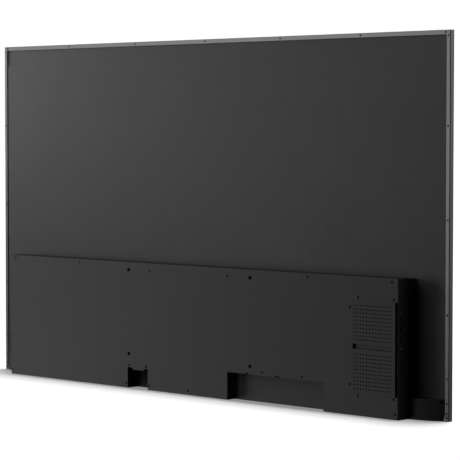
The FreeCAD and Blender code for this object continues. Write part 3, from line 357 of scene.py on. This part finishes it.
def circuit_board():
    """Green solder mask over copper tracks that run along the two board directions."""
    finish = Finish("circuit_board_finish", (0.01, 0.09, 0.035), roughness=0.35)
    cells = finish.nodes.new("ShaderNodeTexBrick")
    cells.inputs["Scale"].default_value = 1.0
    cells.inputs["Brick Width"].default_value = 0.012
    cells.inputs["Row Height"].default_value = 0.0035
    cells.inputs["Mortar Size"].default_value = 0.0005
    cells.inputs["Color1"].default_value = (0.008, 0.085, 0.03, 1)
    cells.inputs["Color2"].default_value = (0.012, 0.105, 0.042, 1)
    cells.inputs["Mortar"].default_value = (0.03, 0.19, 0.07, 1)
    turned = finish.nodes.new("ShaderNodeMapping")
    turned.inputs["Rotation"].default_value = (math.radians(90), 0, 0)
    finish.links.new(finish.place, turned.inputs["Vector"])
    finish.links.new(turned.outputs["Vector"], cells.inputs["Vector"])
    finish.links.new(cells.outputs["Color"], finish.shader.inputs["Base Color"])
    return finish.bump(cells.outputs["Fac"], 0.03, strength=0.5)


def clear_acrylic():
    """Light guide: clear sheet with a fine printed dot pattern that scatters the light."""
    finish = Finish("clear_acrylic_finish", (0.92, 0.95, 0.96), roughness=0.08)
    finish.shader.inputs["Transmission Weight"].default_value = 0.85
    finish.shader.inputs["IOR"].default_value = 1.49
    dots = finish.nodes.new("ShaderNodeTexVoronoi")
    dots.inputs["Scale"].default_value = 400
    finish.links.new(finish.place, dots.inputs["Vector"])
    return finish.roughness(dots.outputs["Distance"], 0.35, 0.05)


def white_film(name, colour, roughness):
    finish = Finish(name, colour, roughness=roughness)
    finish.colour(finish.noise(20, detail=3), shade(colour, 0.96), shade(colour, 1.02))
    return finish.bump(finish.noise(1200, detail=1), 0.004, strength=0.5)


def taped(name, colour):
    """Transformer: windings under layers of yellow tape."""
    finish = Finish(name, colour, roughness=0.35)
    bands = finish.noise(1.0, detail=1, stretch=(30, 260, 30))
    finish.colour(bands, shade(colour, 0.75), shade(colour, 1.1))
    return finish.bump(bands, 0.1, strength=0.6)


# ---- finishes by node ---------------------------------------------------------------------------
def finishes():
    """Every finish, with the CAD nodes that wear it."""
    return [
        (brushed("alloy_along_x", ALLOY, ALONG_X), ("frame_rail_top", "frame_rail_bottom")),
        (brushed("alloy_along_z", ALLOY, ALONG_Z), ("frame_rail_left", "frame_rail_right")),
        (plated("bright_steel_finish", (0.45, 0.45, 0.46), 0.35),
         ("corner_keys", "cover_posts", "standoffs")),
        (plated("blackened_steel_finish", (0.03, 0.03, 0.03), 0.5), ("vesa_inserts",)),
        (plated("black_screw_finish", SCREW_BLACK, 0.4), ("frame_screws", "cover_screws", "bar_screws")),
        (plated("side_screw_finish", (0.5, 0.5, 0.5), 0.3), ("side_screws",)),
        (moulded("bezel_finish", (0.012, 0.012, 0.013), 0.4), ("front_bezel",)),
        (moulded("sensor_finish", (0.012, 0.002, 0.003), 0.1, 0.0), ("sensor_window",)),
        (screen_glass(), ("lcd_panel",)),
        (moulded("black_plastic_finish", (0.018, 0.018, 0.019), 0.5),
         ("mid_frame", "speaker_left", "speaker_right", "mains_inlet", "switch_body", "audio_jack",
          "driver_parts")),
        (white_film("film_finish", (0.85, 0.86, 0.87), 0.25), ("optical_films", "reflector_sheet")),
        (clear_acrylic(), ("light_guide",)),
        (white_film("strip_finish", (0.7, 0.7, 0.68), 0.4), ("led_strip",)),
        (white_film("emitter_finish", (0.75, 0.6, 0.12), 0.3), ("led_emitters",)),
        (powder_coat("back_sheet_paint", SHEET_PAINT), ("back_sheet",)),
        (powder_coat("bar_paint", (0.035, 0.035, 0.035)), ("bottom_bar",)),
        (powder_coat("tray_paint", (0.03, 0.03, 0.03)), ("chassis_tray",)),
        (powder_coat("cover_paint", COVER_PAINT), ("rear_cover",)),
        (powder_coat("panel_paint", (0.041, 0.041, 0.041)), ("vent_panel",)),
        (powder_coat("bay_paint", (0.04, 0.04, 0.04)), ("connector_bay", "side_plate")),
        # The mains notch is painted near black, darker than the cover: painted shade in the recess.
        (powder_coat("notch_painted_shade", (0.012, 0.012, 0.012), 0.7), ("mains_bay",)),
        (plated("plate_finish", (0.4, 0.4, 0.41), 0.4), ("vesa_plate_left", "vesa_plate_right")),
        (moulded("cone_finish", (0.03, 0.03, 0.032), 0.8, 0.05), ("speaker_drivers",)),
        (plated("nickel_finish", NICKEL, 0.28),
         ("hdmi_ports", "display_port", "usb_ports", "lan_port", "dsub_ports", "side_ports", "mains_pins")),
        (moulded("rocker_finish", (0.012, 0.012, 0.012), 0.3, 0.005), ("power_rocker",)),
        (moulded("key_finish", (0.015, 0.015, 0.016), 0.4),
         ("power_key", "source_key", "up_key", "down_key")),
        (circuit_board(), ("main_board", "supply_board", "driver_board", "timing_board", "side_board",
                           "key_board")),
        (moulded("chip_finish", (0.02, 0.02, 0.022), 0.45), ("main_board_chips",)),
        (brushed("heatsink_finish", (0.6, 0.6, 0.61), ALONG_X, 0.35), ("heatsink",)),
        (taped("transformer_finish", (0.6, 0.38, 0.04)), ("supply_transformers",)),
        (moulded("capacitor_finish", (0.02, 0.022, 0.03), 0.3, 0.004), ("supply_capacitors",)),
    ]


def dress_nodes():
    for finish, names in finishes():
        for name in names:
            for slot in NODES[name].material_slots:
                slot.material = finish.material


# ---- reading the frame --------------------------------------------------------------------------
def solids(node):
    """Boxes (low, high) of the separate solids in a CAD node, from left to right and low to high."""
    mesh = NODES[node].data
    owner = {}

    def find(key):
        while owner[key] != key:
            owner[key] = owner[owner[key]]
            key = owner[key]
        return key

    keys = [tuple(round(value * 1e5) for value in vertex.co) for vertex in mesh.vertices]
    for key in keys:
        owner.setdefault(key, key)
    for edge in mesh.edges:
        first, second = (find(keys[index]) for index in edge.vertices)
        owner[first] = second
    groups = {}
    for vertex, key in zip(mesh.vertices, keys):
        groups.setdefault(find(key), []).append(vertex.co)
    boxes = []
    for points in groups.values():
        low = Vector([min(point[axis] for point in points) for axis in range(3)])
        high = Vector([max(point[axis] for point in points) for axis in range(3)])
        boxes.append((low, high))
    return sorted(boxes, key=lambda pair: tuple(round(value, 4) for value in pair[0]))


# ---- mesh helpers -------------------------------------------------------------------------------
def piece_from(bm, name, finish, body):
    bmesh.ops.recalc_face_normals(bm, faces=bm.faces)
    mesh = bpy.data.meshes.new(name)
    bm.to_mesh(mesh)
    bm.free()
    mesh.materials.append(finish.material)
    piece = bpy.data.objects.new(name, mesh)
    SCENE.collection.objects.link(piece)
    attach(piece, body)
    return piece


def add_block(bm, low, high, bevel=0.0):
    """A block between two corners, with its edges rounded when a bevel is given."""
    low, high = Vector(low), Vector(high)
    size = high - low
    made = bmesh.ops.create_cube(bm, size=1.0)["verts"]
    bmesh.ops.scale(bm, verts=made, vec=size)
    bmesh.ops.translate(bm, verts=made, vec=(low + high) / 2)
    if bevel:
        edges = list({edge for vertex in made for edge in vertex.link_edges})
        bmesh.ops.bevel(bm, geom=edges, offset=min(bevel, min(size) * 0.45), segments=2, affect="EDGES",
                        profile=0.5)


def ring_of_points(bm, radius, level, steps):
    """Level circle of vertices round the Z axis."""
    turns = [math.tau * i / steps for i in range(steps)]
    return [bm.verts.new((radius * math.cos(turn), radius * math.sin(turn), level)) for turn in turns]


def screw_mesh(radius, height, shank_radius, shank_long, recess):
    """Low domed head with a cross recess, pointing up along Z from its seat at zero."""
    steps = 32
    rim = height * 0.45
    outline = [(0, height), (radius * 0.45, height), (radius * 0.8, height * 0.85),
               (radius * 0.96, rim + 0.02 * MM), (radius, rim * 0.7), (radius, 0),
               (shank_radius, 0), (shank_radius, -shank_long), (0, -shank_long)]
    bm = bmesh.new()
    rings = []
    for distance, level in outline:
        if distance == 0:
            rings.append([bm.verts.new((0, 0, level))])
            continue
        rings.append(ring_of_points(bm, distance, level, steps))
    for upper, lower in zip(rings, rings[1:]):
        for i in range(steps):
            after = (i + 1) % steps
            if len(upper) == 1:
                bm.faces.new((upper[0], lower[i], lower[after]))
            elif len(lower) == 1:
                bm.faces.new((upper[i], lower[0], upper[after]))
            else:
                bm.faces.new((upper[i], lower[i], lower[after], upper[after]))
    bmesh.ops.recalc_face_normals(bm, faces=bm.faces)
    head = solid_object(bm, "screw_blank")
    cutter = bmesh.new()
    arm = radius * 0.62
    half = radius * 0.13
    deep = height - recess
    cross = [(half, half), (half, arm), (-half, arm), (-half, half), (-arm, half), (-arm, -half),
             (-half, -half), (-half, -arm), (half, -arm), (half, -half), (arm, -half), (arm, half)]
    top = [cutter.verts.new((x, y, height + recess)) for x, y in cross]
    bottom = [cutter.verts.new((x * 0.75, y * 0.75, deep)) for x, y in cross]
    cutter.faces.new(top)
    cutter.faces.new(list(reversed(bottom)))
    for i in range(len(cross)):
        after = (i + 1) % len(cross)
        cutter.faces.new((top[after], top[i], bottom[i], bottom[after]))
    bmesh.ops.recalc_face_normals(cutter, faces=cutter.faces)
    return cut(head, solid_object(cutter, "recess_blank"))


def solid_object(bm, name):
    mesh = bpy.data.meshes.new(name)
    bm.to_mesh(mesh)
    bm.free()
    made = bpy.data.objects.new(name, mesh)
    SCENE.collection.objects.link(made)
    return made


def cut(blank, cutter):
    """Cuts one object out of another, removes both and returns the mesh that is left."""
    modifier = blank.modifiers.new("cut", "BOOLEAN")
    modifier.object = cutter
    modifier.operation = "DIFFERENCE"
    modifier.solver = "EXACT"
    bpy.context.view_layer.update()
    evaluated = blank.evaluated_get(bpy.context.evaluated_depsgraph_get())
    mesh = bpy.data.meshes.new_from_object(evaluated)
    bpy.data.objects.remove(blank)
    bpy.data.objects.remove(cutter)
    return mesh


def set_of_screws(name, node, towards, finish):
    """One detailed screw for each solid of a screw node; towards is the way that the heads face."""
    towards = Vector(towards)
    axis = max(range(3), key=lambda i: abs(towards[i]))
    across = (axis + 1) % 3
    turn = towards.to_track_quat("Z", "Y").to_matrix().to_4x4()
    head = HEAD_HIGH[node] * MM
    bm = bmesh.new()
    screws = {}
    for index, (low, high) in enumerate(solids(node)):
        radius = (high[across] - low[across]) / 2
        long = high[axis] - low[axis]
        key = (round(radius, 5), round(long, 5))
        if key not in screws:
            screws[key] = screw_mesh(radius, head, radius * 0.5, long - head, head * 0.9)
        tip = low[axis] if towards[axis] < 0 else high[axis]
        seat = (low + high) / 2
        seat[axis] = tip - towards[axis] * head
        spin = Matrix.Rotation(math.radians(SCREW_TURN * index), 4, "Z")
        before = len(bm.verts)
        bm.from_mesh(screws[key])
        bm.verts.ensure_lookup_table()
        bmesh.ops.transform(bm, matrix=Matrix.Translation(seat) @ turn @ spin, verts=bm.verts[before:])
    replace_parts(piece_from(bm, name, finish, "display"), node)


def make_screws():
    black = plated("screw_black_finish", SCREW_BLACK, 0.42)
    bright = plated("screw_bright_finish", (0.5, 0.5, 0.5), 0.3)
    set_of_screws("frame_screw_heads", "frame_screws", (0, -1, 0), black)
    set_of_screws("cover_screw_heads", "cover_screws", (0, -1, 0), black)
    set_of_screws("bar_screw_heads", "bar_screws", (0, -1, 0), black)
    set_of_screws("side_screw_heads", "side_screws", (1, 0, 0), bright)


# ---- inside the sockets -------------------------------------------------------------------------
def socket_block(bm, shell, downward, across, from_board, inward):
    """A block inside a socket, from spans in mm: across its width, off its board and in from its mouth."""
    low, high = shell
    y0, y1 = (high.y - value * MM for value in reversed(from_board))
    if downward:
        middle = (low.x + high.x) / 2
        x0, x1 = (middle + value * MM for value in across)
        z0, z1 = (low.z + value * MM for value in inward)
    else:
        middle = (low.z + high.z) / 2
        z0, z1 = (middle + value * MM for value in across)
        x0, x1 = (high.x - value * MM for value in reversed(inward))
    add_block(bm, (x0, y0, z0), (x1, y1, z1))


def make_tongues(plastic, contact):
    """Tongue and spring contacts of every flat socket."""
    shells = [(shell, True) for node in DOWNWARD for shell in solids(node)]
    shells += [(shell, False) for shell in solids("side_ports")]
    tongues = bmesh.new()
    contacts = bmesh.new()
    for shell, downward in shells:
        size = shell[1] - shell[0]
        wide = round((size.x if downward else size.z) / MM, 1)
        tongue, thick, off, count, pitch = TONGUES[wide]
        socket_block(tongues, shell, downward, (-tongue / 2, tongue / 2), (off, off + thick),
                     (TONGUE_START, TONGUE_END))
        half = pitch * CONTACT_SHARE / 2
        for i in range(count):
            middle = (i - (count - 1) / 2) * pitch
            socket_block(contacts, shell, downward, (middle - half, middle + half),
                         (off + thick, off + thick + CONTACT_THICK), (CONTACT_START, TONGUE_END))
    piece_from(tongues, "socket_tongues", plastic, "display")
    piece_from(contacts, "socket_contacts", contact, "display")


def make_lan_wires(plastic, contact):
    """Black lining and eight spring wires of the network socket."""
    count, pitch, thick = LAN_WIRES
    wires = bmesh.new()
    lining = bmesh.new()
    for shell in solids("lan_port"):
        for off, inward in (LAN_ROOF, LAN_BACK):
            socket_block(lining, shell, True, (-LAN_HALF_WIDE, LAN_HALF_WIDE), off, inward)
        for i in range(count):
            middle = (i - (count - 1) / 2) * pitch
            socket_block(wires, shell, True, (middle - thick / 2, middle + thick / 2),
                         (LAN_WIRE_OFF, LAN_WIRE_OFF + thick), LAN_WIRE_REACH)
    piece_from(lining, "lan_lining", plastic, "display")
    piece_from(wires, "lan_wires", contact, "display")


def add_rod(bm, x, y, mouth, size, sides):
    """Upright rod or nut; size is its radius, its length and how far its middle is above the mouth."""
    radius, length, rise = (value * MM for value in size)
    made = bmesh.ops.create_cone(bm, cap_ends=True, segments=sides, radius1=radius, radius2=radius,
                                 depth=length)
    bmesh.ops.translate(bm, verts=made["verts"], vec=(x, y, mouth + rise))


def make_dsub_parts(plastic, contact, nickel):
    """Insert, pins and locking nuts of the two D-shaped sockets."""
    inserts = bmesh.new()
    pins = bmesh.new()
    nuts = bmesh.new()
    half_wide, half_deep, bottom, top = (value * MM for value in DSUB_INSERT)
    for low, high in solids("dsub_ports"):
        middle = (low + high) / 2
        mouth = low.z
        add_block(inserts, (middle.x - half_wide, middle.y - half_deep, mouth + bottom),
                  (middle.x + half_wide, middle.y + half_deep, mouth + top))
        for row, count in enumerate(DSUB_PINS):
            y = middle.y + (row - 0.5) * DSUB_ROW_PITCH * MM
            for i in range(count):
                x = middle.x + (i - (count - 1) / 2) * DSUB_PIN_PITCH * MM
                add_rod(pins, x, y, mouth, DSUB_PIN, 16)
        for side in (-1, 1):
            add_rod(nuts, middle.x + side * DSUB_NUT_APART / 2 * MM, middle.y, mouth, DSUB_NUT, 6)
    piece_from(inserts, "dsub_inserts", plastic, "display")
    piece_from(pins, "dsub_pins", contact, "display")
    piece_from(nuts, "dsub_nuts", nickel, "display")


def make_sockets():
    plastic = moulded("socket_plastic_finish", (0.012, 0.012, 0.013), 0.45, 0.01)
    contact = plated("contact_finish", (0.75, 0.58, 0.28), 0.25)
    nickel = plated("nut_finish", NICKEL, 0.3)
    make_tongues(plastic, contact)
    make_lan_wires(plastic, contact)
    make_dsub_parts(plastic, contact, nickel)


# ---- rocker marks -------------------------------------------------------------------------------
def rocker_face(side):
    """Frame on the middle of one face of the rocker at rest: its Z axis points out of the face."""
    tilt = math.radians(ROCKER_TILT)
    middle = ROCKER_HALF / 2
    turned = Matrix.Rotation(tilt, 4, "X")
    place = Matrix.Translation(Vector((0, side * middle, middle * math.tan(tilt) - ROCKER_FACE)) * MM)
    outward = Matrix.Rotation(math.pi + side * tilt, 4, "X")
    return Matrix.Translation(Vector(ROCKER_JOINT) * MM) @ turned @ place @ outward


def make_rocker_marks():
    """Raised generic on and off symbols."""
    white = moulded("mark_finish", (0.6, 0.6, 0.6), 0.5, 0.0)
    bm = bmesh.new()
    corner = Vector((*MARK_BAR, MARK_HIGH)) * MM
    add_block(bm, -corner, corner)
    bmesh.ops.transform(bm, matrix=rocker_face(1), verts=bm.verts)
    before = len(bm.verts)
    outer, inner = MARK_RING
    add_ring(bm, outer * MM, inner * MM, MARK_HIGH * MM)
    bm.verts.ensure_lookup_table()
    bmesh.ops.transform(bm, matrix=rocker_face(-1), verts=bm.verts[before:])
    piece_from(bm, "rocker_marks", white, "rocker")


def add_ring(bm, outer, inner, half_high):
    """Flat ring in the XY plane."""
    steps = 40
    rings = []
    for radius, level in ((outer, -half_high), (outer, half_high), (inner, half_high), (inner, -half_high)):
        rings.append(ring_of_points(bm, radius, level, steps))
    for first, second in zip(rings, rings[1:] + rings[:1]):
        for i in range(steps):
            after = (i + 1) % steps
            bm.faces.new((first[i], first[after], second[after], second[i]))


# ---- broken edges -------------------------------------------------------------------------------
def break_edges():
    """Small rounds on edges that would otherwise be knife sharp."""
    for width, names in EDGE_BREAKS.items():
        for name in names:
            bevel = NODES[name].modifiers.new("edge_break", "BEVEL")
            bevel.width = width * MM
            bevel.segments = 2
            bevel.limit_method = "ANGLE"
            bevel.angle_limit = math.radians(40)


def main():
    SCENE.view_settings.view_transform = "Standard"
    make_camera()
    make_world()
    make_lights(make_floor())
    dress_nodes()
    make_screws()
    make_sockets()
    make_rocker_marks()
    break_edges()


main()
